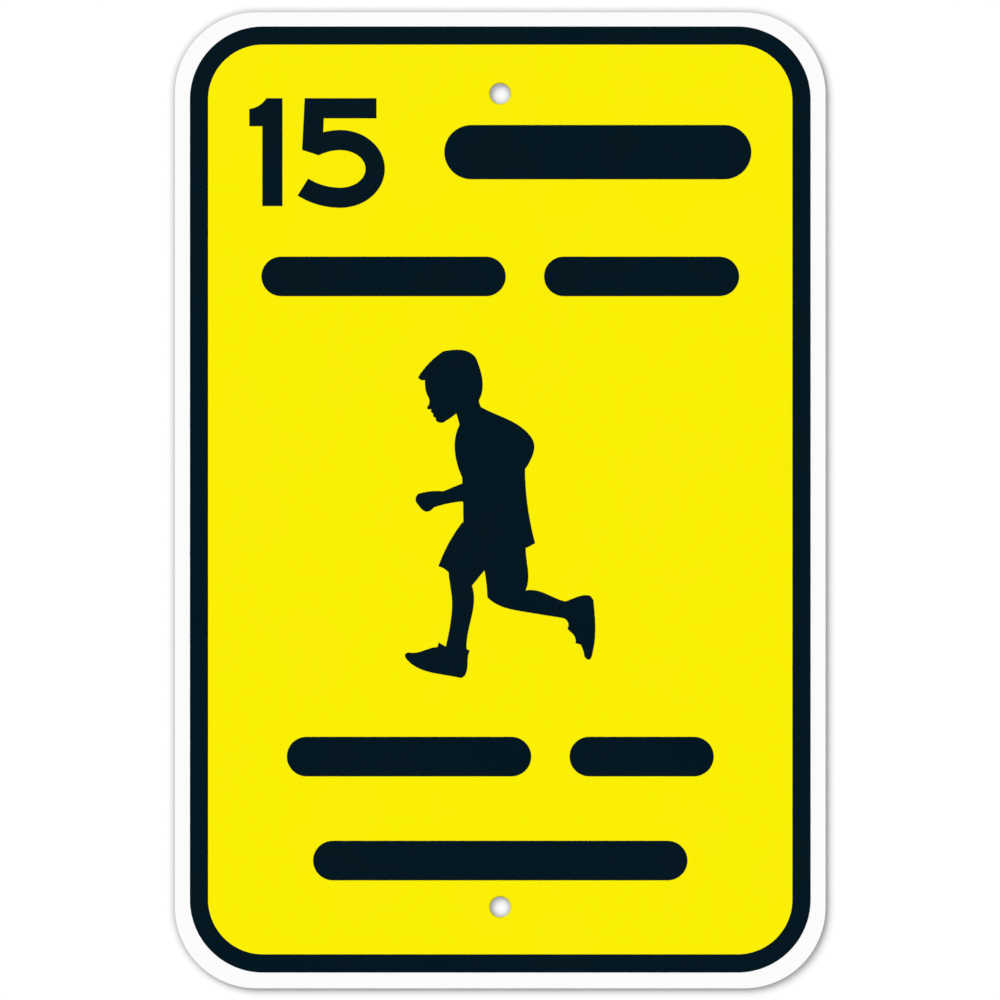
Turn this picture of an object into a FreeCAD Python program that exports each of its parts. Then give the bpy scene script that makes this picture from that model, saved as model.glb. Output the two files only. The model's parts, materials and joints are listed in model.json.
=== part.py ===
import FreeCAD, Part
import math
import os

os.makedirs("parts", exist_ok=True)

# The sign stands upright with its face towards -Y, its width along X and its height along Z.
# The origin is the middle of the back of the blank.

# Blank
blank_width = 304.8
blank_height = 457.2
blank_thickness = 1.6
corner_radius = 38.1
back_edge_radius = 0.3

# Bolt holes, one above the other on the centre line
hole_diameter = 9.525
hole_edge_distance = 38.1
cutter_overrun = 1.0

# Layers on the face of the blank, from the metal outwards
sheeting_thickness = 0.2
field_thickness = 0.08
legend_thickness = 0.08

# Border band, with a corner a little larger than one that keeps even with the blank.
# It is printed a little above the middle of the blank.
border_inset = 7.05
border_width = 8.5
border_radius_excess = 3.15
border_rise = 0.4
field_width = blank_width - 2 * (border_inset + border_width)
field_height = blank_height - 2 * (border_inset + border_width)

# Rows of the legend: from the top or bottom edge of the blank to the centre line of each,
# and the margin that each leaves at both sides of the field
number_row_drop = 65.5
number_row_margin = 19.3
upper_row_drop = 123.7
upper_row_margin = 25.0
lower_row_rise = 108.6
lower_row_margin = 36.9
bottom_row_rise = 59.9
bottom_row_margin = 49.2

# Bars in the places of the words, with the share of its row's length that each has
word_bar_height = 18.5
word_gap = 18.0
upper_row_shares = (0.556, 0.444)
lower_row_shares = (0.629, 0.371)
unit_bar_height = 25.4
unit_gap = 27.9

# Numerals
one_width = 15.5
five_width = 40.8
numeral_gap = 7.15
numeral_height = 50.5
stroke = 9.4
flag_drop = 5.0
flag_depth = 8.1
flag_top = 7.5
flag_hollow = 1.1
bowl_height = 36.4
bowl_reach = 20.8
bowl_side_stroke = 9.0
bowl_overshoot = 0.8
tail_radius = 37.9
arm_radius = 31.6
five_bar_inset = 3.3
five_bar_end = 3.9
stem_foot_height = 26.3
stem_slope = 0.05
notch_turn = 27.0

# Running child, which fills the space between the upper and the lower bars less these clearances
child_head_clearance = 24.85
child_foot_clearance = 27.55
child_foot_rise = lower_row_rise + word_bar_height / 2 + child_foot_clearance
child_top_drop = upper_row_drop + word_bar_height / 2 + child_head_clearance
child_height = blank_height - child_foot_rise - child_top_drop
head_tilt = 18.0


def flat(x, z):
    # A point in the plane of the sign.
    return FreeCAD.Vector(x, 0, z)


def polar(centre, radius, degrees):
    # A point on a circle, turning from +X towards +Z.
    angle = math.radians(degrees)
    return flat(centre.x + radius * math.cos(angle), centre.z + radius * math.sin(angle))


def line(start, end):
    return Part.makeLine(start, end)


def arc(centre, radius, start, end):
    # An arc from one angle to another about a centre.
    middle = polar(centre, radius, (start + end) / 2)
    return Part.Arc(polar(centre, radius, start), middle, polar(centre, radius, end)).toShape()


def quarter(start, corner, end):
    # A quarter of an ellipse that leaves and arrives along the sides of its corner.
    curve = Part.BezierCurve()
    curve.setPoles([start, corner, end])
    curve.setWeight(2, math.sqrt(0.5))
    return curve.toShape()


def face_of(edges):
    # A flat face that looks towards -Y, whichever way round its edges run.
    wire = Part.Wire(edges)
    face = Part.Face(wire)
    if face.normalAt(0, 0).y > 0:
        wire.reverse()
        face = Part.Face(wire)
    return face


def rounded_face(width, height, radius):
    # A rectangle with round corners about the middle of the sign.
    x = width / 2 - radius
    z = height / 2 - radius
    edges = []
    centres = [flat(x, z), flat(-x, z), flat(-x, -z), flat(x, -z)]
    for turn, centre in enumerate(centres):
        start = 90 * turn
        following = centres[(turn + 1) % 4]
        edges.append(arc(centre, radius, start, start + 90))
        edges.append(line(polar(centre, radius, start + 90), polar(following, radius, start + 90)))
    return face_of(edges)


def bar_face(length, height):
    # A straight bar with fully round ends, from x = 0 and about z = 0.
    radius = height / 2
    left = flat(radius, 0)
    right = flat(length - radius, 0)
    edges = [
        arc(left, radius, 90, 270),
        line(polar(left, radius, 270), polar(right, radius, 270)),
        arc(right, radius, -90, 90),
        line(polar(right, radius, 90), polar(left, radius, 90)),
    ]
    return face_of(edges)


def numeral_one():
    # A straight stem with a flag whose upper edge is a shallow hollow.
    flag_foot = numeral_height - flag_drop - flag_depth
    flag_left = flat(0, numeral_height - flag_drop)
    flag_right = flat(one_width - flag_top, numeral_height)
    chord = flag_right - flag_left
    across = flat(chord.z, -chord.x).normalize()
    hollow = flag_left + chord * 0.5 + across * flag_hollow
    corners = [
        flag_right,
        flat(one_width, numeral_height),
        flat(one_width, 0),
        flat(one_width - stroke, 0),
        flat(one_width - stroke, flag_foot),
        flat(0, flag_foot),
        flag_left,
    ]
    edges = [line(start, end) for start, end in zip(corners, corners[1:])]
    edges.append(Part.Arc(flag_left, hollow, flag_right).toShape())
    return face_of(edges)


def numeral_five():
    # A bar, a leaning stem, and a bowl of half ellipses that runs into two arcs.
    def on_stem(x, z):
        # A point of the stem, which leans further left the lower it is.
        return flat(x - stem_slope * (numeral_height - z), z)

    axis = five_width - bowl_reach
    foot = -bowl_overshoot
    crown = foot + bowl_height
    waist = (foot + crown) / 2
    inner_reach = bowl_reach - bowl_side_stroke
    bar_left = five_bar_inset
    bar_right = five_width - five_bar_end
    under = numeral_height - stroke

    arm_centre = flat(axis, crown - arm_radius)
    inner_arm_radius = arm_radius - stroke
    stem_right = bar_left + stroke
    arm_turn = math.degrees(math.asin((axis - on_stem(stem_right, crown).x) / arm_radius))
    tail_centre = flat(axis, foot + tail_radius)
    inner_tail_radius = tail_radius - stroke
    tail_turn = math.degrees(math.asin(axis / tail_radius))

    arm_start = polar(arm_centre, arm_radius, 90 + arm_turn)
    notch = polar(arm_centre, inner_arm_radius, 90 + notch_turn)
    stem_foot = on_stem(bar_left, stem_foot_height)
    stem_corner = on_stem(stem_right, under)
    tail_outer = polar(tail_centre, tail_radius, -90 - tail_turn)
    tail_inner = polar(tail_centre, inner_tail_radius, -90 - tail_turn)
    edges = [
        line(stem_foot, flat(bar_left, numeral_height)),
        line(flat(bar_left, numeral_height), flat(bar_right, numeral_height)),
        line(flat(bar_right, numeral_height), flat(bar_right, under)),
        line(flat(bar_right, under), stem_corner),
        line(stem_corner, arm_start),
        arc(arm_centre, arm_radius, 90 + arm_turn, 90),
        quarter(flat(axis, crown), flat(five_width, crown), flat(five_width, waist)),
        quarter(flat(five_width, waist), flat(five_width, foot), flat(axis, foot)),
        arc(tail_centre, tail_radius, -90, -90 - tail_turn),
        line(tail_outer, tail_inner),
        arc(tail_centre, inner_tail_radius, -90 - tail_turn, -90),
        quarter(
            flat(axis, foot + stroke),
            flat(axis + inner_reach, foot + stroke),
            flat(axis + inner_reach, waist),
        ),
        quarter(
            flat(axis + inner_reach, waist),
            flat(axis + inner_reach, crown - stroke),
            flat(axis, crown - stroke),
        ),
        arc(arm_centre, inner_arm_radius, 90, 90 + notch_turn),
        line(notch, stem_foot),
    ]
    return face_of(edges)


def on_grid(point):
    # A point of the child's drawing, across from its middle and up from its lowest point,
    # in hundredths of its height.
    step = child_height / 100
    return flat(point[0] * step, point[1] * step)


def shape(*runs):
    # A closed outline. Each run starts where the one before it ends.
    # A run of one point is straight and a longer one is a smooth curve.
    edges = []
    start = runs[-1][-1]
    for run in runs:
        points = [on_grid(start)] + [on_grid(point) for point in run]
        if len(points) == 2:
            edges.append(line(points[0], points[1]))
        else:
            curve = Part.BSplineCurve()
            curve.interpolate(points)
            edges.append(curve.toShape())
        start = run[-1]
    return face_of(edges)


def posed(face, degrees, place):
    # A copy of a face, turned from +X towards +Z about its own origin and set at a point of the grid.
    copy = face.copy()
    copy.rotate(flat(0, 0), FreeCAD.Vector(0, -1, 0), degrees)
    copy.translate(on_grid(place))
    return copy


def shirt():
    # A loose shirt over the trunk, with the rear elbow drawn back in its sleeve.
    return shape(
        [(-1, 80.1), (6.6, 76.1), (10.3, 71), (9.6, 67.2), (7.5, 63.5)],
        [(8.1, 54), (10.6, 41)],
        [(8, 39.6)],
        [(-11.2, 46)],
        [(-11.3, 53)],
        [(-11.6, 61)],
        [(-13.2, 65.5), (-13.8, 72), (-11.5, 78.5)],
        [(-6, 82.5)],
    )


def shorts():
    # Wide shorts, with the front leg flared and its hem standing off the thigh.
    return shape(
        [(-15, 42.2), (-18.8, 34)],
        [(-17, 33.2), (-15.2, 31.5)],
        [(-6.5, 31.5)],
        [(-4.8, 32.8)],
        [(7.8, 34)],
        [(7.7, 42)],
        [(-11.5, 47.4)],
    )


def front_leg():
    # The leg that reaches forward, almost straight at the knee.
    return shape(
        [(-15.5, 30), (-14.7, 24), (-15.1, 17), (-16.7, 9)],
        [(-10.1, 7.5)],
        [(-9.8, 14), (-8.2, 21.5), (-8.6, 28.1)],
        [(-4.8, 32.8)],
        [(-4.5, 38)],
        [(-15.8, 34)],
    )


def rear_leg():
    # The leg behind, bent at the knee with its shin carried level.
    return shape(
        [(-4.3, 29.5), (-3.9, 24.5)],
        [(-0.4, 22.1), (7, 20.2), (13, 19.2), (18.7, 18.3)],
        [(24, 17)],
        [(24, 23)],
        [(19.8, 23.3)],
        [(17.5, 24), (13, 26), (7.7, 26.6)],
        [(8.5, 31.5), (8, 36), (7.7, 39.5)],
        [(-4.8, 38)],
        [(-4.8, 32.8)],
    )


def front_arm():
    # The forearm and closed hand in front of the waist.
    return shape(
        [(-17.3, 56.8)],
        [(-21, 56.8), (-25, 56)],
        [(-25.7, 54.8), (-24.6, 52.2)],
        [(-22.3, 50.6), (-20.2, 51.9)],
        [(-15.8, 53.1), (-11.8, 53.7)],
        [(-9, 53)],
        [(-9, 60)],
        [(-11.8, 59.1)],
    )


def front_shoe():
    # A low shoe with its toe raised and its tongue standing up.
    return shape(
        [(-16.7, 0.9), (-21.5, 1.8), (-25.5, 3.3), (-28, 5.2), (-29, 6.9), (-27.9, 7.8)],
        [(-25.1, 7.8), (-22, 8.8), (-19.1, 9.4)],
        [(-18.7, 10.8)],
        [(-16.9, 9.7)],
        [(-10.3, 8.8)],
        [(-9.3, 8.3)],
        [(-9.8, 6.8), (-10.1, 2.7), (-11, 0.5)],
        [(-12, 0)],
    )


def rear_shoe():
    # A low shoe on its toe, its sole to the rear and its laces standing out in steps.
    return shape(
        [(22.2, 24.2), (25, 25.1), (27.4, 25)],
        [(28.3, 23.8)],
        [(28.8, 18), (28.8, 12.5), (28.2, 8.4)],
        [(26.7, 5.6), (25.6, 6.5)],
        [(25, 9), (24.4, 10.2)],
        [(22.9, 10.6)],
        [(22.7, 12.4), (21.4, 14)],
        [(20.4, 15)],
        [(20.7, 16.6), (19.8, 17.9), (18.2, 18.4)],
        [(19.8, 23.3)],
    )


def neck():
    return shape(
        [(-13.4, 80.5), (-12.4, 77)],
        [(-5.5, 77)],
        [(-5.8, 82.3)],
        [(-6.4, 83.8), (-6.2, 86.5)],
        [(-15, 84)],
    )


def head():
    # Drawn upright about the middle of the skull and facing -X.
    # The face is in equal thirds: hairline to brow, brow to nose, nose to chin.
    third = 4.9
    brow = -0.6
    nose = brow - third
    mouth = nose - third / 3
    chin = nose - third
    face = shape(
        [(-8, brow + third * 0.5), (-8.3, brow), (-8.1, brow - third * 0.3), (-9.3, nose + third * 0.2)],
        [(-9.5, nose + third * 0.08), (-9.1, nose)],
        [(-8.4, nose - third * 0.02)],
        [(-8.7, nose - third * 0.2), (-8.2, mouth)],
        [(-8.5, mouth - third * 0.15), (-7.9, mouth - third * 0.28)],
        [(-8.1, chin + third * 0.22), (-7.2, chin + third * 0.02), (-5.6, chin)],
        [(-2.5, chin + third * 0.18), (2, chin + third * 0.6)],
        [(5, brow)],
        [(-7.2, brow + third)],
    )
    hair = shape(
        [(8.3, -4.5), (9.4, 0.5), (9.3, 5)],
        [(7.6, 7.6), (4.2, 9.3), (0.4, 10)],
        [(-4.6, 8), (-9.3, 4.8)],
        [(-8.5, 3.7), (-7.4, 3.4)],
        [(-5, -3)],
        [(5.2, -8.2)],
    )
    return [face, hair]


def running_child():
    # One flat silhouette, from the parts of the child laid over each other.
    skull = (-14.7, 89.7)
    parts = [shirt(), shorts(), front_leg(), rear_leg(), front_shoe(), rear_shoe(), front_arm(), neck()]
    parts.extend(posed(part, head_tilt, skull) for part in head())
    return parts[0].fuse(parts[1:]).removeSplitter().Faces[0]


def placed(face, x, z):
    copy = face.copy()
    copy.translate(flat(x, z))
    return copy


def bolt_holes():
    # Cutters that pass through every layer of the sign.
    depth = blank_thickness + sheeting_thickness + field_thickness + legend_thickness
    reach = blank_height / 2 - hole_edge_distance
    cutters = []
    for z in (reach, -reach):
        start = FreeCAD.Vector(0, cutter_overrun, z)
        length = depth + 2 * cutter_overrun
        cutters.append(Part.makeCylinder(hole_diameter / 2, length, start, FreeCAD.Vector(0, -1, 0)))
    return cutters


def layer(face, depth, thickness):
    # A flat layer whose back is at a depth in front of the origin, with the bolt holes through it.
    solid = face.extrude(FreeCAD.Vector(0, -thickness, 0))
    solid.translate(FreeCAD.Vector(0, -depth, 0))
    return solid.cut(bolt_holes()).Solids[0]


def sign_blank():
    # The metal plate. The edge at its back is rounded, and the face stays square under the sheeting.
    plate = rounded_face(blank_width, blank_height, corner_radius).extrude(
        FreeCAD.Vector(0, -blank_thickness, 0)
    )
    back_edges = [edge for edge in plate.Edges if edge.BoundBox.YMin > -back_edge_radius]
    return plate.makeFillet(back_edge_radius, back_edges).cut(bolt_holes()).Solids[0]


def number_row():
    # The two numerals and the bar of the unit, which fills the rest of the row.
    z = blank_height / 2 - number_row_drop
    foot = z - numeral_height / 2
    one_left = number_row_margin - field_width / 2
    five_left = one_left + one_width + numeral_gap
    unit_left = five_left + five_width + unit_gap
    unit_length = field_width / 2 - number_row_margin - unit_left
    return {
        "numeral_one": placed(numeral_one(), one_left, foot),
        "numeral_five": placed(numeral_five(), five_left, foot),
        "unit_bar": placed(bar_face(unit_length, unit_bar_height), unit_left, z),
    }


def word_row(z, margin, shares):
    # Bars that fill a row of the field between its margins, each with its share of the length.
    length = field_width - 2 * margin - word_gap * (len(shares) - 1)
    x = margin - field_width / 2
    bars = []
    for share in shares:
        bars.append(placed(bar_face(length * share, word_bar_height), x, z))
        x += length * share + word_gap
    return bars


def legend():
    # Every shape on the yellow field, by name.
    top = blank_height / 2
    faces = number_row()
    upper_bars = word_row(top - upper_row_drop, upper_row_margin, upper_row_shares)
    lower_bars = word_row(lower_row_rise - top, lower_row_margin, lower_row_shares)
    faces["upper_bar_left"], faces["upper_bar_right"] = upper_bars
    faces["running_child"] = placed(running_child(), 0, child_foot_rise - top)
    faces["lower_bar_left"], faces["lower_bar_right"] = lower_bars
    faces["bottom_bar"] = word_row(bottom_row_rise - top, bottom_row_margin, [1])[0]
    return faces


def sign():
    # Every piece of the sign, by the name of its node.
    band_radius = corner_radius - border_inset + border_radius_excess
    field_outline = rounded_face(field_width, field_height, band_radius - border_width)
    band_outline = rounded_face(
        field_width + 2 * border_width, field_height + 2 * border_width, band_radius
    )
    band_face = placed(band_outline.cut(field_outline).Faces[0], 0, border_rise)
    field_face = placed(field_outline, 0, border_rise)
    sheeting_face = rounded_face(blank_width, blank_height, corner_radius)

    sheeting_front = blank_thickness + sheeting_thickness
    field_front = sheeting_front + field_thickness
    pieces = {
        "sign_blank": sign_blank(),
        "white_sheeting": layer(sheeting_face, blank_thickness, sheeting_thickness),
        "border_band": layer(band_face, sheeting_front, field_thickness),
        "yellow_field": layer(field_face, sheeting_front, field_thickness),
    }
    for name, face in legend().items():
        pieces[name] = layer(face, field_front, legend_thickness)
    return pieces


for name, solid in sign().items():
    solid.exportStep("parts/" + name + ".step")
    print(name, "valid", solid.isValid(), "volume", round(solid.Volume, 2))
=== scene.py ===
import json
import math
import bmesh
import bpy
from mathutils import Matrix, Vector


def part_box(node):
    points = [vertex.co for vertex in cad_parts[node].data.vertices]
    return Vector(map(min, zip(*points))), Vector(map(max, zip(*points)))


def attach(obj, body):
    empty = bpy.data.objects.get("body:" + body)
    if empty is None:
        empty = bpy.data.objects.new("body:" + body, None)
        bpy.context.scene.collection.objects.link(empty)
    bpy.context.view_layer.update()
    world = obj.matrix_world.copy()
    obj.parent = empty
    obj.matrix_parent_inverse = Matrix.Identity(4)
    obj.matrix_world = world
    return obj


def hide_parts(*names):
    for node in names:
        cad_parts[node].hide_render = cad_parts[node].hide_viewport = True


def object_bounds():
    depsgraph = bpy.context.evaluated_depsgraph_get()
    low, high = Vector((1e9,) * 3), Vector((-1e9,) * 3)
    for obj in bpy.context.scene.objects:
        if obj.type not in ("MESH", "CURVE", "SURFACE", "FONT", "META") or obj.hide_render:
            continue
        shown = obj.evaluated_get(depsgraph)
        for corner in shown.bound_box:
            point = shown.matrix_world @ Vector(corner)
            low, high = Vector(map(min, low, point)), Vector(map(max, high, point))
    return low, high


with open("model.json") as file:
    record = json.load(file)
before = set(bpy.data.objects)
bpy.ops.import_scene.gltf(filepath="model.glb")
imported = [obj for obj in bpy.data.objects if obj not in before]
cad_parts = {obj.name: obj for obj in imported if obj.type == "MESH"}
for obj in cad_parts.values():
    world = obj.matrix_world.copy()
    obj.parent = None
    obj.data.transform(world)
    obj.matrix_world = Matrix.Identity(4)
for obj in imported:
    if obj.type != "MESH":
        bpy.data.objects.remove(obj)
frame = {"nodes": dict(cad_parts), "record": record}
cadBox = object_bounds()
print("frame loaded with", len(frame["nodes"]), "nodes")

# The two bolt holes, from the record, and the lip that the punch draws in around each on the face
bolts = next(mount for mount in frame["record"]["mounts"] if mount["kind"] == "bolt_pattern")["dims"]
holeRadius = bolts["hole_r_mm"] / 1000
holeHeights = (bolts["spacing_y_mm"] / 2000, -bolts["spacing_y_mm"] / 2000)
lip = {
    "width": 0.0005,
    "bendRadius": 0.00026,
    "bendAngle": 40.0,
    "bendSteps": 4,
}


# Helpers for node trees

def addNode(tree, kind, values=None, **settings):
    # a node with its settings, and plain values for its sockets by name
    node = tree.nodes.new(kind)
    for name, value in settings.items():
        setattr(node, name, value)
    for name, value in (values or {}).items():
        node.inputs[name].default_value = value
    return node


def feed(tree, source, socket):
    # links a socket, or sets it where the source is a plain value
    if isinstance(source, bpy.types.NodeSocket):
        tree.links.new(source, socket)
    else:
        socket.default_value = source


def calculate(tree, operation, first, second):
    node = addNode(tree, "ShaderNodeMath", operation=operation)
    feed(tree, first, node.inputs[0])
    feed(tree, second, node.inputs[1])
    return node.outputs[0]


def spread(tree, value, low, high, newLow, newHigh):
    # a value taken from one range to another, and held inside it
    node = addNode(tree, "ShaderNodeMapRange", {"From Min": low, "From Max": high})
    feed(tree, value, node.inputs["Value"])
    feed(tree, newLow, node.inputs["To Min"])
    feed(tree, newHigh, node.inputs["To Max"])
    return node.outputs["Result"]


def blendColours(tree, mask, first, second):
    node = addNode(tree, "ShaderNodeMix", data_type="RGBA")
    feed(tree, mask, node.inputs["Factor"])
    feed(tree, first, node.inputs["A"])
    feed(tree, second, node.inputs["B"])
    return node.outputs["Result"]


def newMaterial(name):
    material = bpy.data.materials.new(name)
    material.use_nodes = True
    material.node_tree.nodes.clear()
    return material, material.node_tree


def showShader(tree, shader):
    output = addNode(tree, "ShaderNodeOutputMaterial")
    tree.links.new(shader, output.inputs["Surface"])


def newGroup(name, inputs, outputs):
    # an empty node group with named number sockets
    group = bpy.data.node_groups.new(name, "ShaderNodeTree")
    kind = "NodeSocketFloat"
    for socketName, value in inputs.items():
        socket = group.interface.new_socket(name=socketName, in_out="INPUT", socket_type=kind)
        socket.default_value = value
    for socketName in outputs:
        group.interface.new_socket(name=socketName, in_out="OUTPUT", socket_type=kind)
    return group, group.nodes.new("NodeGroupInput").outputs, group.nodes.new("NodeGroupOutput").inputs


def useGroup(tree, group, values):
    node = addNode(tree, "ShaderNodeGroup", node_tree=group)
    for name, value in values.items():
        node.inputs[name].default_value = value
    return node.outputs


# Camera, square on to the face, which fills the picture as in the photograph
camera = {
    "lens": 135.0,
    "imageSize": 1000,
    "pixelsPerMetre": 2135.1,
    "faceMiddle": (500.25, 500.35),
}


def makeCamera():
    data = bpy.data.cameras.new("camera")
    data.lens = camera["lens"]
    widthSeen = camera["imageSize"] / camera["pixelsPerMetre"]
    distance = data.lens * widthSeen / data.sensor_width
    middle = camera["imageSize"] / 2
    across = (middle - camera["faceMiddle"][0]) / camera["pixelsPerMetre"]
    up = (camera["faceMiddle"][1] - middle) / camera["pixelsPerMetre"]
    holder = bpy.data.objects.new("camera", data)
    holder.location = (across, cadBox[0].y - distance, up)
    holder.rotation_euler = (math.radians(90), 0, 0)
    bpy.context.scene.collection.objects.link(holder)
    bpy.context.scene.camera = holder


makeCamera()
print("camera set")


# Light: a room with a soft key from the upper left, and a faint lamp like it for the back. The room
# has a level for each place from straight ahead of the face, at -1, to straight behind it, at 1.
light = {
    "room": {-0.93: 0.01, -0.76: 1.095, -0.45: 1.095, -0.25: 0.43, 0.0: 0.57},
    "lean": 0.20,    # how much brighter the room is towards the key
    "keyTurn": -54.0,
    "keyRise": 37.0,
    "keyLevel": 0.29,
    "keyAngle": 44.0,
    "backLevel": 0.05,
    "backAngle": 80.0,
}


def keyDirection(side):
    # towards the key, on the face's side at -1, on the back's side at 1 and between them at 0
    turn = math.radians(light["keyTurn"])
    rise = math.radians(light["keyRise"])
    level = math.cos(rise)
    return Vector((math.sin(turn) * level, side * math.cos(turn) * level, math.sin(rise)))


def addSun(name, level, angle, side):
    # a wide sun that gives a white face square to Y the level asked for
    data = bpy.data.lights.new(name, "SUN")
    data.angle = math.radians(angle)
    toSun = keyDirection(side)
    data.energy = level * math.pi / abs(toSun.y)
    holder = bpy.data.objects.new(name, data)
    holder.rotation_euler = toSun.to_track_quat("Z", "Y").to_euler()
    bpy.context.scene.collection.objects.link(holder)


def levelsAlong(tree, value, levels):
    # levels at places from -1 to 1 of a value, blended between them
    ramp = addNode(tree, "ShaderNodeValToRGB")
    stops = ramp.color_ramp.elements
    brightest = max(levels.values())
    for place, level in levels.items():
        stops.new((place + 1) / 2).color = (level / brightest,) * 3 + (1,)
    stops.remove(stops[0])
    stops.remove(stops[-1])
    tree.links.new(spread(tree, value, -1.0, 1.0, 0.0, 1.0), ramp.inputs["Fac"])
    return calculate(tree, "MULTIPLY", ramp.outputs["Color"], brightest)


def makeWorld():
    # the room lights the sign, and what the camera, reflections and glass see is plain white
    world = bpy.data.worlds.new("studio")
    bpy.context.scene.world = world
    world.use_nodes = True
    world.cycles.sampling_method = "NONE"
    tree = world.node_tree
    tree.nodes.clear()
    path = addNode(tree, "ShaderNodeLightPath")
    direction = addNode(tree, "ShaderNodeTexCoord")
    parts = addNode(tree, "ShaderNodeSeparateXYZ")
    tree.links.new(direction.outputs["Generated"], parts.inputs[0])
    room = levelsAlong(tree, parts.outputs["Y"], light["room"])
    towardsKey = addNode(tree, "ShaderNodeVectorMath", operation="DOT_PRODUCT")
    tree.links.new(direction.outputs["Generated"], towardsKey.inputs[0])
    towardsKey.inputs[1].default_value = keyDirection(0).normalized()
    lean = calculate(tree, "MULTIPLY", towardsKey.outputs["Value"], light["lean"])
    leaning = calculate(tree, "MULTIPLY", room, calculate(tree, "ADD", lean, 1.0))
    shown = path.outputs["Is Camera Ray"]
    for ray in ("Is Glossy Ray", "Is Transmission Ray"):
        shown = calculate(tree, "MAXIMUM", shown, path.outputs[ray])
    strength = addNode(tree, "ShaderNodeMix", {"B": 1.0}, data_type="FLOAT")
    tree.links.new(shown, strength.inputs["Factor"])
    tree.links.new(leaning, strength.inputs["A"])
    background = addNode(tree, "ShaderNodeBackground", {"Color": (1, 1, 1, 1)})
    tree.links.new(strength.outputs["Result"], background.inputs["Strength"])
    output = addNode(tree, "ShaderNodeOutputWorld")
    tree.links.new(background.outputs[0], output.inputs["Surface"])


addSun("keySun", light["keyLevel"], light["keyAngle"], -1)
addSun("backSun", light["backLevel"], light["backAngle"], 1)
makeWorld()
bpy.context.scene.view_settings.view_transform = "Standard"
print("lights set")


# Stage: a white wall that the sign hangs on and a pale floor, which only the camera sees, and only
# from their fronts, and a dark card that only reflections see, as for photographs of glossy flat work
stage = {
    "wallGap": 0.0003,
    "wallWidth": 3.0,
    "wallHeight": 2.4,
    "wallLift": 0.05,
    # painted light: how brightly the wall glows behind the bolt holes
    "paintedHoleLight": 0.155,
    "contactReach": 0.0052,
    "contactRange": (0.5, 1.0),
    "contactTone": 0.53,
    "floorLevel": -0.45,
    "floorSize": 9.0,
    "floorColour": (0.90, 0.90, 0.89, 1),
    "fadeStart": 0.9,
    "fadeEnd": 2.4,
    "cardDistance": 3.0,
    "cardDark": 1.45,
    "cardEnd": 2.8,
    "cardLevel": 0.01,
}


def addPlane(name, width, height, place, turn, seenBy):
    # a plane that one kind of ray sees, so that it neither lights nor shades the sign
    bpy.ops.object.select_all(action="DESELECT")
    bpy.ops.mesh.primitive_plane_add(size=1, location=place, rotation=turn)
    plane = bpy.context.object
    plane.name = name
    plane.scale = (width, height, 1)
    bpy.ops.object.transform_apply(location=True, rotation=True, scale=True)
    for ray in ("camera", "diffuse", "glossy", "transmission", "shadow"):
        setattr(plane, "visible_" + ray, ray == seenBy)
    return plane


def distanceFromOrigin(tree, axes):
    # how far a point lies from the origin along the axes given
    place = addNode(tree, "ShaderNodeTexCoord")
    kept = addNode(tree, "ShaderNodeVectorMath", operation="MULTIPLY")
    kept.inputs[1].default_value = axes
    tree.links.new(place.outputs["Object"], kept.inputs[0])
    length = addNode(tree, "ShaderNodeVectorMath", operation="LENGTH")
    tree.links.new(kept.outputs[0], length.inputs[0])
    return length.outputs["Value"]


def makeBoltZone():
    # a mask of what lies within a radius of either bolt's centre line
    group, given, result = newGroup("boltZone", {"Radius": 0.01}, ["Zone"])
    place = addNode(group, "ShaderNodeTexCoord")
    parts = addNode(group, "ShaderNodeSeparateXYZ")
    group.links.new(place.outputs["Object"], parts.inputs[0])
    height = calculate(group, "ABSOLUTE", parts.outputs["Z"], 0.0)
    along = calculate(group, "SUBTRACT", height, holeHeights[0])
    squared = [calculate(group, "MULTIPLY", side, side) for side in (parts.outputs["X"], along)]
    distance = calculate(group, "SQRT", calculate(group, "ADD", *squared), 0.0)
    group.links.new(calculate(group, "LESS_THAN", distance, given["Radius"]), result["Zone"])
    return group


def showFromFront(tree, shader):
    # the shader on the front of a plane, and nothing on its back
    clear = addNode(tree, "ShaderNodeBsdfTransparent")
    side = addNode(tree, "ShaderNodeNewGeometry")
    choice = addNode(tree, "ShaderNodeMixShader")
    tree.links.new(side.outputs["Backfacing"], choice.inputs[0])
    tree.links.new(shader, choice.inputs[1])
    tree.links.new(clear.outputs[0], choice.inputs[2])
    showShader(tree, choice.outputs[0])


def makeWall():
    # white, with painted shade where the sign lies close to it, and painted light that brightens the
    # wall behind the bolt holes
    middle = stage["floorLevel"] + stage["wallHeight"] / 2
    wall = addPlane(
        "wall", stage["wallWidth"], stage["wallHeight"],
        (0, stage["wallGap"], middle), (math.radians(90), 0, 0), "camera",
    )
    material, tree = newMaterial("whiteWall")
    contact = addNode(tree, "ShaderNodeAmbientOcclusion", {"Distance": stage["contactReach"]})
    shade = spread(tree, contact.outputs["AO"], *stage["contactRange"], stage["contactTone"], 1.0)
    plaster = addNode(tree, "ShaderNodeBsdfDiffuse")
    tree.links.new(shade, plaster.inputs["Color"])
    # painted light: within twice the hole radius of a bolt the wall glows brighter, so that it looks
    # lighter through the holes
    inHole = useGroup(tree, boltZoneGroup, {"Radius": 2 * holeRadius})["Zone"]
    lifted = spread(tree, inHole, 0.0, 1.0, stage["wallLift"], stage["paintedHoleLight"])
    lift = addNode(tree, "ShaderNodeEmission")
    tree.links.new(lifted, lift.inputs["Strength"])
    both = addNode(tree, "ShaderNodeAddShader")
    tree.links.new(plaster.outputs[0], both.inputs[0])
    tree.links.new(lift.outputs[0], both.inputs[1])
    showFromFront(tree, both.outputs[0])
    wall.data.materials.append(material)


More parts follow.
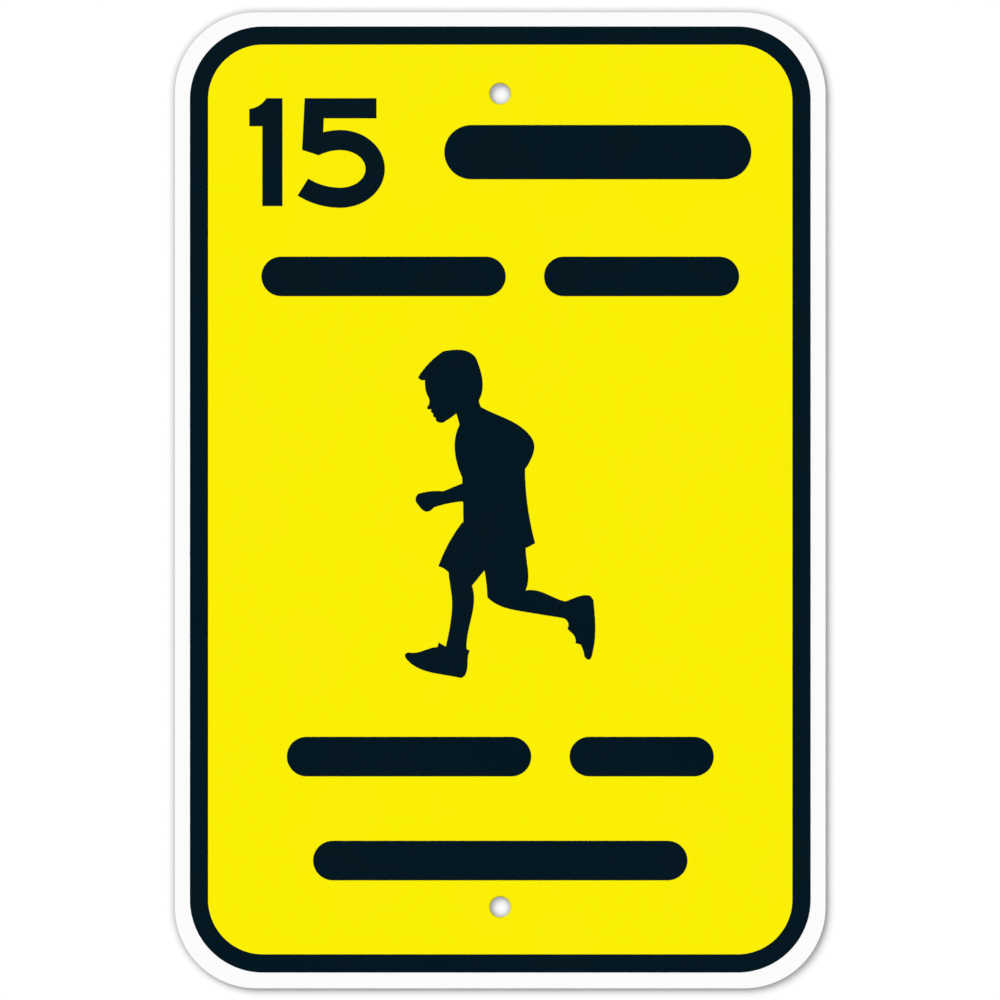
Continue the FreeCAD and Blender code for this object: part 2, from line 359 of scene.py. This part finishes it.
def makeFloor():
    # pale under the sign, and white further out
    size = stage["floorSize"]
    floor = addPlane("floor", size, size, (0, 0, stage["floorLevel"]), (0, 0, 0), "camera")
    material, tree = newMaterial("paleFloor")
    distance = distanceFromOrigin(tree, (1, 1, 0))
    fade = spread(tree, distance, stage["fadeStart"], stage["fadeEnd"], 0.0, 1.0)
    paint = addNode(tree, "ShaderNodeBsdfDiffuse", {"Color": stage["floorColour"]})
    white = addNode(tree, "ShaderNodeEmission", {"Strength": 1.0})
    choice = addNode(tree, "ShaderNodeMixShader")
    tree.links.new(fade, choice.inputs[0])
    tree.links.new(paint.outputs[0], choice.inputs[1])
    tree.links.new(white.outputs[0], choice.inputs[2])
    showFromFront(tree, choice.outputs[0])
    floor.data.materials.append(material)


def makeCard():
    # dark in the middle, and as white as the room looks at its edge
    size = 2 * stage["cardEnd"]
    place = (0, -stage["cardDistance"], 0)
    card = addPlane("card", size, size, place, (math.radians(90), 0, 0), "glossy")
    material, tree = newMaterial("darkCard")
    distance = distanceFromOrigin(tree, (1, 0, 1))
    level = spread(tree, distance, stage["cardDark"], stage["cardEnd"], stage["cardLevel"], 1.0)
    paper = addNode(tree, "ShaderNodeEmission")
    tree.links.new(level, paper.inputs["Strength"])
    showShader(tree, paper.outputs[0])
    card.data.materials.append(material)


boltZoneGroup = makeBoltZone()
makeWall()
makeFloor()
makeCard()
print("stage set")


# Effects that the finishes share

def drawnNoise(tree, place, across, along, values):
    # noise with a scale across the sheet and another up it
    scales = addNode(tree, "ShaderNodeCombineXYZ")
    tree.links.new(across, scales.inputs["X"])
    tree.links.new(along, scales.inputs["Z"])
    drawn = addNode(tree, "ShaderNodeVectorMath", operation="MULTIPLY")
    tree.links.new(place, drawn.inputs[0])
    tree.links.new(scales.outputs[0], drawn.inputs[1])
    noise = addNode(tree, "ShaderNodeTexNoise", {"Scale": 1.0, **values})
    tree.links.new(drawn.outputs[0], noise.inputs["Vector"])
    return noise.outputs["Fac"]


def makeStreaks():
    # fine lines that run up the sheet, as rolling leaves them
    group, given, result = newGroup("rollingStreaks", {"Across": 900.0, "Along": 9.0}, ["Streaks"])
    place = addNode(group, "ShaderNodeTexCoord").outputs["Object"]
    noise = drawnNoise(group, place, given["Across"], given["Along"], {"Detail": 4.0, "Roughness": 0.6})
    group.links.new(noise, result["Streaks"])
    return group


def makeHaze():
    # soft patches where hands and cloths have been
    low, high = 0.2, 0.84
    group, given, result = newGroup("handlingHaze", {"Scale": 18.0}, ["Haze"])
    place = addNode(group, "ShaderNodeTexCoord")
    noise = addNode(group, "ShaderNodeTexNoise", {"Detail": 2.0, "Roughness": 0.5, "Distortion": 0.2})
    group.links.new(place.outputs["Object"], noise.inputs["Vector"])
    group.links.new(given["Scale"], noise.inputs["Scale"])
    group.links.new(spread(group, noise.outputs["Fac"], low, high, 0.0, 1.0), result["Haze"])
    return group


def makeScratches():
    # sparse thin marks in one direction
    inputs = {"Turn": 0.5, "Width": 2200.0, "Length": 28.0, "Cover": 0.72, "Sharpness": 14.0}
    group, given, result = newGroup("hairScratches", inputs, ["Scratches"])
    place = addNode(group, "ShaderNodeTexCoord")
    turn = addNode(group, "ShaderNodeVectorRotate", rotation_type="Y_AXIS")
    group.links.new(place.outputs["Object"], turn.inputs["Vector"])
    group.links.new(given["Turn"], turn.inputs["Angle"])
    noise = drawnNoise(group, turn.outputs[0], given["Width"], given["Length"], {"Detail": 1.0})
    above = calculate(group, "SUBTRACT", noise, given["Cover"])
    sharp = calculate(group, "MULTIPLY", above, given["Sharpness"])
    group.links.new(spread(group, sharp, 0.0, 1.0, 0.0, 1.0), result["Scratches"])
    return group


def makeSurfaceWave():
    # the slight waviness of a sheet, and the peel of film laid on it
    inputs = {"Wave Scale": 9.0, "Peel Scale": 420.0, "Peel Share": 0.05}
    group, given, result = newGroup("sheetWave", inputs, ["Height"])
    place = addNode(group, "ShaderNodeTexCoord")
    wave = addNode(group, "ShaderNodeTexNoise", {"Detail": 0.0})
    peel = addNode(group, "ShaderNodeTexNoise", {"Detail": 1.0})
    for noise, scale in ((wave, "Wave Scale"), (peel, "Peel Scale")):
        group.links.new(place.outputs["Object"], noise.inputs["Vector"])
        group.links.new(given[scale], noise.inputs["Scale"])
    small = calculate(group, "MULTIPLY", peel.outputs["Fac"], given["Peel Share"])
    group.links.new(calculate(group, "ADD", wave.outputs["Fac"], small), result["Height"])
    return group


streaksGroup = makeStreaks()
hazeGroup = makeHaze()
scratchGroup = makeScratches()
waveGroup = makeSurfaceWave()


# Finishes: bare aluminium with its sheared edge, and the films on its face

cutEdge = {
    "facing": (0.35, 0.75),    # how far towards the face or back a side may turn
    "tearStart": -0.00105,
    "tearWander": 0.0005,
    "tearBlend": 0.00005,
    "ragged": {"Scale": 260.0, "Detail": 4.0, "Roughness": 0.7},
    "raggedRange": (0.3, 0.7),
    "grain": {"Scale": 3500.0, "Detail": 2.0},
}


def makeShearedEdge():
    # the cut sides of the plate: smooth where the blade slid, torn and grainy nearer the back
    group, given, result = newGroup("shearedEdge", {}, ["Side", "Torn", "Grain"])
    place = addNode(group, "ShaderNodeTexCoord")
    turned = addNode(group, "ShaderNodeSeparateXYZ")
    group.links.new(place.outputs["Normal"], turned.inputs[0])
    facing = calculate(group, "ABSOLUTE", turned.outputs["Y"], 0.0)
    side = spread(group, facing, *cutEdge["facing"], 1.0, 0.0)
    parts = addNode(group, "ShaderNodeSeparateXYZ")
    group.links.new(place.outputs["Object"], parts.inputs[0])
    ragged = addNode(group, "ShaderNodeTexNoise", cutEdge["ragged"])
    group.links.new(place.outputs["Object"], ragged.inputs["Vector"])
    reach = cutEdge["tearWander"]
    wander = spread(group, ragged.outputs["Fac"], *cutEdge["raggedRange"], -reach, reach)
    depth = calculate(group, "ADD", parts.outputs["Y"], wander)
    start, blend = cutEdge["tearStart"], cutEdge["tearBlend"]
    torn = spread(group, depth, start - blend, start + blend, 0.0, 1.0)
    grain = addNode(group, "ShaderNodeTexNoise", cutEdge["grain"])
    group.links.new(place.outputs["Object"], grain.inputs["Vector"])
    group.links.new(side, result["Side"])
    group.links.new(calculate(group, "MULTIPLY", side, torn), result["Torn"])
    group.links.new(grain.outputs["Fac"], result["Grain"])
    return group


def addSurface(tree, plain, colour, rough, normal):
    # the surface shader, with its plain values and what changes over the piece
    shader = addNode(tree, "ShaderNodeBsdfPrincipled", plain)
    tree.links.new(colour, shader.inputs["Base Color"])
    tree.links.new(rough, shader.inputs["Roughness"])
    tree.links.new(normal, shader.inputs["Normal"])
    showShader(tree, shader.outputs[0])


metal = {
    "colour": (0.66, 0.668, 0.68, 1),
    "dull": (0.46, 0.467, 0.48, 1),
    "smudge": (0.49, 0.497, 0.505, 1),
    "cutSide": (0.42, 0.424, 0.43, 1),
    "fracture": (0.28, 0.282, 0.285, 1),
    "fineStreaks": {"Across": 1500.0, "Along": 11.0},
    "broadStreaks": {"Across": 120.0, "Along": 2.0},
    "fineShare": 0.6,
    "toneRange": (0.35, 0.65),
    "scratches": (
        {"Turn": 0.6, "Cover": 0.70},
        {"Turn": -1.1, "Width": 1600.0, "Cover": 0.71},
    ),
    "scratchGloss": 0.1,
    "scratchDepth": 0.5,
    "hazeScale": 16.0,
    "hazeRoughness": 0.07,
    "smudgeScale": 24.0,
    "smudgeRange": (0.5, 1.0),
    "smudgeShare": 0.3,
    "smudgeRoughness": 0.08,
    "roughness": (0.29, 0.44),
    "roughRange": (0.3, 0.7),
    "fractureRoughness": 0.62,
    "bumpStrength": 0.14,
    "bumpDepth": 0.00004,
    "wave": {"Wave Scale": 7.0, "Peel Share": 0.0},
    "waveDepth": 0.0022,
}


def makeMetal():
    # mill-rolled sheet with its rolling lines, the marks of handling and its sheared sides
    material, tree = newMaterial("millAluminium")
    fine = useGroup(tree, streaksGroup, metal["fineStreaks"])["Streaks"]
    broad = useGroup(tree, streaksGroup, metal["broadStreaks"])["Streaks"]
    haze = useGroup(tree, hazeGroup, {"Scale": metal["hazeScale"]})["Haze"]
    patches = useGroup(tree, hazeGroup, {"Scale": metal["smudgeScale"]})["Haze"]
    smudges = spread(tree, patches, *metal["smudgeRange"], 0.0, 1.0)
    crossing = [useGroup(tree, scratchGroup, values)["Scratches"] for values in metal["scratches"]]
    scratches = calculate(tree, "MAXIMUM", *crossing)
    wave = useGroup(tree, waveGroup, metal["wave"])["Height"]
    cut = useGroup(tree, makeShearedEdge(), {})
    fineShare = calculate(tree, "MULTIPLY", fine, metal["fineShare"])
    broadShare = calculate(tree, "MULTIPLY", broad, 1 - metal["fineShare"])
    streaks = calculate(tree, "ADD", fineShare, broadShare)

    tone = calculate(tree, "MAXIMUM", spread(tree, streaks, *metal["toneRange"], 0.0, 1.0), scratches)
    colour = blendColours(tree, tone, metal["dull"], metal["colour"])
    smudged = calculate(tree, "MULTIPLY", smudges, metal["smudgeShare"])
    colour = blendColours(tree, smudged, colour, metal["smudge"])
    colour = blendColours(tree, cut["Side"], colour, metal["cutSide"])
    colour = blendColours(tree, cut["Torn"], colour, metal["fracture"])

    rough = spread(tree, streaks, *metal["roughRange"], *metal["roughness"])
    duller = calculate(tree, "MULTIPLY", haze, metal["hazeRoughness"])
    greasy = calculate(tree, "MULTIPLY", smudges, metal["smudgeRoughness"])
    glossed = calculate(tree, "MULTIPLY", scratches, metal["scratchGloss"])
    rough = calculate(tree, "ADD", rough, duller)
    rough = calculate(tree, "ADD", rough, greasy)
    rough = calculate(tree, "SUBTRACT", rough, glossed)
    rough = spread(tree, cut["Torn"], 0.0, 1.0, rough, metal["fractureRoughness"])

    sunk = calculate(tree, "MULTIPLY", scratches, metal["scratchDepth"])
    grainy = calculate(tree, "MULTIPLY", cut["Torn"], cut["Grain"])
    height = calculate(tree, "SUBTRACT", streaks, sunk)
    height = calculate(tree, "ADD", height, grainy)
    sheet = addNode(tree, "ShaderNodeBump", {"Strength": 1.0, "Distance": metal["waveDepth"]})
    tree.links.new(wave, sheet.inputs["Height"])
    bumps = {"Strength": metal["bumpStrength"], "Distance": metal["bumpDepth"]}
    bump = addNode(tree, "ShaderNodeBump", bumps)
    tree.links.new(height, bump.inputs["Height"])
    tree.links.new(sheet.outputs[0], bump.inputs["Normal"])
    addSurface(tree, {"Metallic": 1.0}, colour, rough, bump.outputs[0])
    return material


# The films: the white sheeting and the two prints, each with its own colour, gloss and painted shade on
# the lip that the punch draws in at its rim, over the haze and peel that all of them share
films = {
    "whiteSheeting": {
        "colour": (0.993, 0.993, 0.991, 1), "hazed": (0.980, 0.980, 0.975, 1),
        "roughness": 0.22, "specular": 0.25, "paintedLipShade": 0.25,
    },
    "yellowFilm": {
        "colour": (0.990, 0.885, 0.0003, 1), "hazed": (0.975, 0.865, 0.0006, 1),
        "roughness": 0.21, "specular": 0.28, "paintedLipShade": 0.38,
    },
    "darkFilm": {
        "colour": (0.0004, 0.0078, 0.0142, 1), "hazed": (0.0007, 0.0086, 0.0154, 1),
        "roughness": 0.20, "specular": 0.28, "paintedLipShade": 0.0,
    },
}
filmSurface = {
    # painted shade: the colour towards which the drawn-in lip round each bolt hole is darkened
    "paintedLipShadeColour": (0, 0, 0, 1),
    "hazeScale": 22.0,
    "hazeShare": 0.6,
    "hazeRoughness": 0.05,
    "peelStrength": 0.25,
    "peelDepth": 0.0004,
    "refraction": 1.5,
}


def makeFilm(name):
    film = films[name]
    material, tree = newMaterial(name)
    haze = useGroup(tree, hazeGroup, {"Scale": filmSurface["hazeScale"]})["Haze"]
    hazed = calculate(tree, "MULTIPLY", haze, filmSurface["hazeShare"])
    colour = blendColours(tree, hazed, film["colour"], film["hazed"])
    # painted shade: each film is darkened towards black, by its own share, on the drawn-in lip round
    # the bolt holes
    drawn = useGroup(tree, boltZoneGroup, {"Radius": holeRadius + lip["width"]})["Zone"]
    paintedLipShaded = calculate(tree, "MULTIPLY", drawn, film["paintedLipShade"])
    colour = blendColours(tree, paintedLipShaded, colour, filmSurface["paintedLipShadeColour"])
    duller = calculate(tree, "MULTIPLY", haze, filmSurface["hazeRoughness"])
    rough = calculate(tree, "ADD", duller, film["roughness"])
    bumps = {"Strength": filmSurface["peelStrength"], "Distance": filmSurface["peelDepth"]}
    peel = addNode(tree, "ShaderNodeBump", bumps)
    tree.links.new(useGroup(tree, waveGroup, {})["Height"], peel.inputs["Height"])
    plain = {"IOR": filmSurface["refraction"], "Specular IOR Level": film["specular"]}
    addSurface(tree, plain, colour, rough, peel.outputs[0])
    return material


finishes = {
    "mill_aluminium": makeMetal(),
    "white_film": makeFilm("whiteSheeting"),
    "yellow_film": makeFilm("yellowFilm"),
    "dark_film": makeFilm("darkFilm"),
}
print("finishes made")


# How each sheet of the sign is modelled, with the rims that the punch draws in at the bolt holes
sheets = {
    "cornerSegments": 28,
    "roundSegments": 3,
    "holeSides": 96,
    "cutterDepth": 0.02,
    "smoothAngle": 40.0,
    "weld": 1e-7,
    "depthMatch": 1e-6,
    "ringMatch": 1e-5,
}


def sameDepth(first, second):
    return abs(first - second) < sheets["depthMatch"]


def sameRing(first, second):
    return abs(first - second) < sheets["ringMatch"]


def startEditing(piece):
    # edit mode with nothing selected
    bpy.ops.object.select_all(action="DESELECT")
    piece.select_set(True)
    bpy.context.view_layer.objects.active = piece
    bpy.ops.object.mode_set(mode="EDIT")
    bpy.ops.mesh.select_all(action="DESELECT")


def selectWhere(piece, kind, chosen):
    # selects the vertices, edges or faces that a test picks, and only those
    bpy.ops.mesh.select_mode(type=kind)
    bpy.ops.mesh.select_all(action="DESELECT")
    mesh = bmesh.from_edit_mesh(piece.data)
    for part in {"VERT": mesh.verts, "EDGE": mesh.edges, "FACE": mesh.faces}[kind]:
        if chosen(part):
            part.select_set(True)
    bmesh.update_edit_mesh(piece.data)


def stopEditing():
    bpy.ops.object.mode_set(mode="OBJECT")


def addSheet(name, low, high, corner):
    # a flat sheet with round corners that fills a box
    bpy.ops.object.select_all(action="DESELECT")
    bpy.ops.mesh.primitive_cube_add(size=1, location=(low + high) / 2, scale=high - low)
    sheet = bpy.context.object
    sheet.name = name
    bpy.ops.object.transform_apply(location=True, rotation=True, scale=True)
    startEditing(sheet)
    selectWhere(sheet, "EDGE", lambda edge: not sameDepth(edge.verts[0].co.y, edge.verts[1].co.y))
    bpy.ops.mesh.bevel(offset=corner, segments=sheets["cornerSegments"], affect="EDGES")
    stopEditing()
    return sheet


def roundOutline(piece, depth, width):
    # rounds the outline of the side that lies at a depth
    startEditing(piece)
    selectWhere(piece, "EDGE", lambda edge: all(sameDepth(v.co.y, depth) for v in edge.verts))
    bpy.ops.mesh.bevel(offset=width, segments=sheets["roundSegments"], affect="EDGES")
    stopEditing()


def cutAway(piece, cutter):
    # cuts the cutter out of the piece, and then removes the cutter
    cut = piece.modifiers.new("cut", "BOOLEAN")
    cut.object = cutter
    cut.solver = "EXACT"
    bpy.context.view_layer.objects.active = piece
    bpy.ops.object.modifier_apply(modifier=cut.name)
    bpy.data.objects.remove(cutter)


def fromHole(point, height):
    return math.hypot(point.x, point.z - height)


def lipSteps():
    # how far in and how deep the lip has come at each step: a bend, then a straight slope
    whole = math.radians(lip["bendAngle"])
    steps = []
    for number in range(1, lip["bendSteps"] + 1):
        angle = whole * number / lip["bendSteps"]
        steps.append((lip["bendRadius"] * math.sin(angle), lip["bendRadius"] * (1 - math.cos(angle))))
    reach, drop = steps[-1]
    steps.append((lip["width"], drop + (lip["width"] - reach) * math.tan(whole)))
    return steps


def punchHoles(piece, bothSides):
    # holes whose rim on the face is drawn in: a film bends with it, and the plate keeps its flat back
    start = holeRadius + lip["width"]
    for height in holeHeights:
        bpy.ops.object.select_all(action="DESELECT")
        bpy.ops.mesh.primitive_cylinder_add(
            vertices=sheets["holeSides"], radius=start, depth=sheets["cutterDepth"],
            location=(0, 0, height), rotation=(math.radians(90), 0, 0),
        )
        cutAway(piece, bpy.context.object)
        startEditing(piece)
        depths = [vertex.co.y for vertex in piece.data.vertices]
        middle = (min(depths) + max(depths)) / 2
        radius = start
        dropped = 0.0
        for reach, drop in lipSteps():
            selectWhere(piece, "FACE", lambda face: all(
                sameRing(fromHole(v.co, height), radius) for v in face.verts))
            bpy.ops.mesh.extrude_region_move()
            scale = (start - reach) / radius
            bpy.ops.transform.resize(value=(scale, 1, scale), center_override=(0, 0, height))
            radius = start - reach
            if not bothSides:
                selectWhere(piece, "VERT", lambda vertex: vertex.co.y < middle
                            and fromHole(vertex.co, height) < radius + sheets["ringMatch"])
            bpy.ops.transform.translate(value=(0, drop - dropped, 0))
            dropped = drop
        stopEditing()


def finishSheet(piece, node, slot):
    # smooth curves between faces that stay flat, then its place in the part
    startEditing(piece)
    bpy.ops.mesh.select_all(action="SELECT")
    bpy.ops.mesh.remove_doubles(threshold=sheets["weld"])
    bpy.ops.mesh.normals_make_consistent(inside=False)
    stopEditing()
    bpy.ops.object.shade_smooth_by_angle(angle=math.radians(sheets["smoothAngle"]))
    even = piece.modifiers.new("evenNormals", "WEIGHTED_NORMAL")
    even.mode = "FACE_AREA"
    even.weight = 100
    even.keep_sharp = True
    bpy.ops.object.modifier_apply(modifier=even.name)
    piece.data.materials.clear()
    piece.data.materials.append(finishes[slot])
    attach(piece, "root")
    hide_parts(node)


# The plate, whose sheared outline is a little round at the back
blank = {
    "corner": 0.0381,
    "backRound": 0.0003,
}


def makeBlank():
    low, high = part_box("sign_blank")
    plate = addSheet("signBlank", low, high, blank["corner"])
    roundOutline(plate, high.y, blank["backRound"])
    punchHoles(plate, False)
    finishSheet(plate, "sign_blank", "mill_aluminium")


makeBlank()
print("blank modelled")


# The films with bolt holes: the white sheeting, as wide as the blank, and the field inside the band
filmSheets = {
    "outlineRound": 0.00006,
}


def makeFilmSheet(name, node, corner, slot):
    low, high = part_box(node)
    film = addSheet(name, low, high, corner)
    roundOutline(film, low.y, filmSheets["outlineRound"])
    punchHoles(film, True)
    finishSheet(film, node, slot)


makeFilmSheet("whiteSheeting", "white_sheeting", blank["corner"], "white_film")
print("sheeting modelled")


# The border band, whose opening gives the field its corner
borderBand = {
    "corner": 0.0342,
    "openingOverrun": 0.001,
}


def makeBand():
    low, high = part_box("border_band")
    fieldLow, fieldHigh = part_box("yellow_field")
    band = addSheet("borderBand", low, high, borderBand["corner"])
    inner = borderBand["corner"] - (fieldLow.x - low.x)
    overrun = Vector((0, borderBand["openingOverrun"], 0))
    cutAway(band, addSheet("bandOpening", fieldLow - overrun, fieldHigh + overrun, inner))
    finishSheet(band, "border_band", "dark_film")
    return inner


fieldCorner = makeBand()
makeFilmSheet("yellowField", "yellow_field", fieldCorner, "yellow_film")
print("band and field modelled")


# The numerals, the child and the bars keep their CAD solids, and every node takes its finish
slots = {part["node"]: part["material_slot"] for part in frame["record"]["subparts"]}
for name, node in frame["nodes"].items():
    node.data.materials[0] = finishes[slots[name]]
print("nodes finished")
